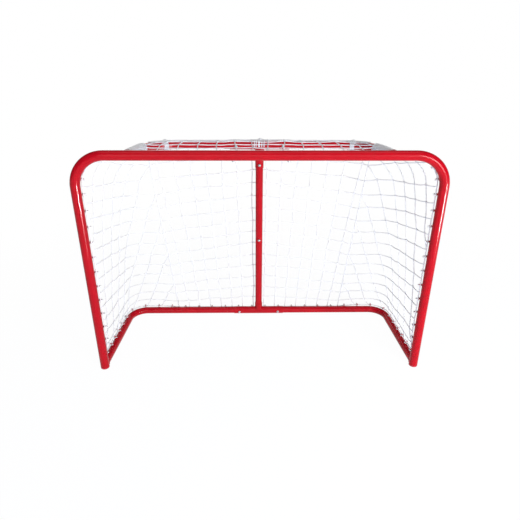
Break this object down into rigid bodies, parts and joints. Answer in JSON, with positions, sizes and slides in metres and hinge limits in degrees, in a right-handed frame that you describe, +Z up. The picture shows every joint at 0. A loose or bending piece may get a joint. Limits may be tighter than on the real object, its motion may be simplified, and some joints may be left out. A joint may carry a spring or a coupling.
{
  "type": "hockey goal net",
  "caption": "Small free-standing hockey goal: red steel tube frame with a centre post, locked by spring snap buttons, and a white knotted net on its top, back and sides.",
  "frame": {"origin": "on the floor, at the middle of the overall width and depth", "axes": "+X to the right along the crossbar, seen from the open side; +Y from the open side to the back of the net; +Z up"},
  "size_m": [0.711, 0.254, 0.483],
  "materials": {
    "red_paint": "gloss paint on steel tube",
    "cap_plastic": "moulded plastic",
    "button_steel": "bright plated steel",
    "spring_steel": "plain spring steel",
    "net_cord": "white knotted polyester cord"
  },
  "bodies": {
    "root": {"left_front_tube": "red_paint", "right_front_tube": "red_paint", "crossbar_sleeve": "red_paint", "left_foot_cap": "cap_plastic", "right_foot_cap": "cap_plastic", "left_shelf_tube": "red_paint", "right_shelf_tube": "red_paint", "shelf_tee": "red_paint", "centre_post_upper": "red_paint", "centre_post_lower": "red_paint", "left_base_tube": "red_paint", "right_base_tube": "red_paint", "base_tee": "red_paint", "crossbar_hooks": "red_paint", "left_post_hooks": "red_paint", "right_post_hooks": "red_paint", "left_base_hooks": "red_paint", "right_base_hooks": "red_paint", "rear_base_hooks": "red_paint", "crossbar_left_spring": "spring_steel", "crossbar_right_spring": "spring_steel", "shelf_left_spring": "spring_steel", "shelf_right_spring": "spring_steel", "post_top_spring": "spring_steel", "post_middle_spring": "spring_steel", "base_left_spring": "spring_steel", "base_right_spring": "spring_steel", "top_net": "net_cord", "back_net": "net_cord", "left_side_net": "net_cord", "right_side_net": "net_cord"},
    "crossbar_left_button": {"crossbar_left_button": "button_steel"},
    "crossbar_right_button": {"crossbar_right_button": "button_steel"},
    "shelf_left_button": {"shelf_left_button": "button_steel"},
    "shelf_right_button": {"shelf_right_button": "button_steel"},
    "post_top_button": {"post_top_button": "button_steel"},
    "post_middle_button": {"post_middle_button": "button_steel"},
    "base_left_button": {"base_left_button": "button_steel"},
    "base_right_button": {"base_right_button": "button_steel"}
  },
  "joints": [
    {"name": "crossbar_left_press", "type": "slide", "parent": "root", "child": "crossbar_left_button", "axis": [0, 0, 1], "range_m": [0, 0.0036], "stiffness_N_per_m": 1500, "springref_m": -0.002, "deforming": ["crossbar_left_spring"]},
    {"name": "crossbar_right_press", "type": "slide", "parent": "root", "child": "crossbar_right_button", "axis": [0, 0, 1], "range_m": [0, 0.0036], "stiffness_N_per_m": 1500, "springref_m": -0.002, "deforming": ["crossbar_right_spring"]},
    {"name": "shelf_left_press", "type": "slide", "parent": "root", "child": "shelf_left_button", "axis": [0, 0.9938, 0.1108], "range_m": [0, 0.0036], "stiffness_N_per_m": 1500, "springref_m": -0.002, "deforming": ["shelf_left_spring"]},
    {"name": "shelf_right_press", "type": "slide", "parent": "root", "child": "shelf_right_button", "axis": [0, 0.9938, 0.1108], "range_m": [0, 0.0036], "stiffness_N_per_m": 1500, "springref_m": -0.002, "deforming": ["shelf_right_spring"]},
    {"name": "post_top_press", "type": "slide", "parent": "root", "child": "post_top_button", "axis": [0, 0.9938, 0.1108], "range_m": [0, 0.0036], "stiffness_N_per_m": 1500, "springref_m": -0.002, "deforming": ["post_top_spring"]},
    {"name": "post_middle_press", "type": "slide", "parent": "root", "child": "post_middle_button", "axis": [0, 0.9938, 0.1108], "range_m": [0, 0.0036], "stiffness_N_per_m": 1500, "springref_m": -0.002, "deforming": ["post_middle_spring"]},
    {"name": "base_left_press", "type": "slide", "parent": "root", "child": "base_left_button", "axis": [0, 0.9938, 0.1108], "range_m": [0, 0.0036], "stiffness_N_per_m": 1500, "springref_m": -0.002, "deforming": ["base_left_spring"]},
    {"name": "base_right_press", "type": "slide", "parent": "root", "child": "base_right_button", "axis": [0, 0.9938, 0.1108], "range_m": [0, 0.0036], "stiffness_N_per_m": 1500, "springref_m": -0.002, "deforming": ["base_right_spring"]}
  ]
}
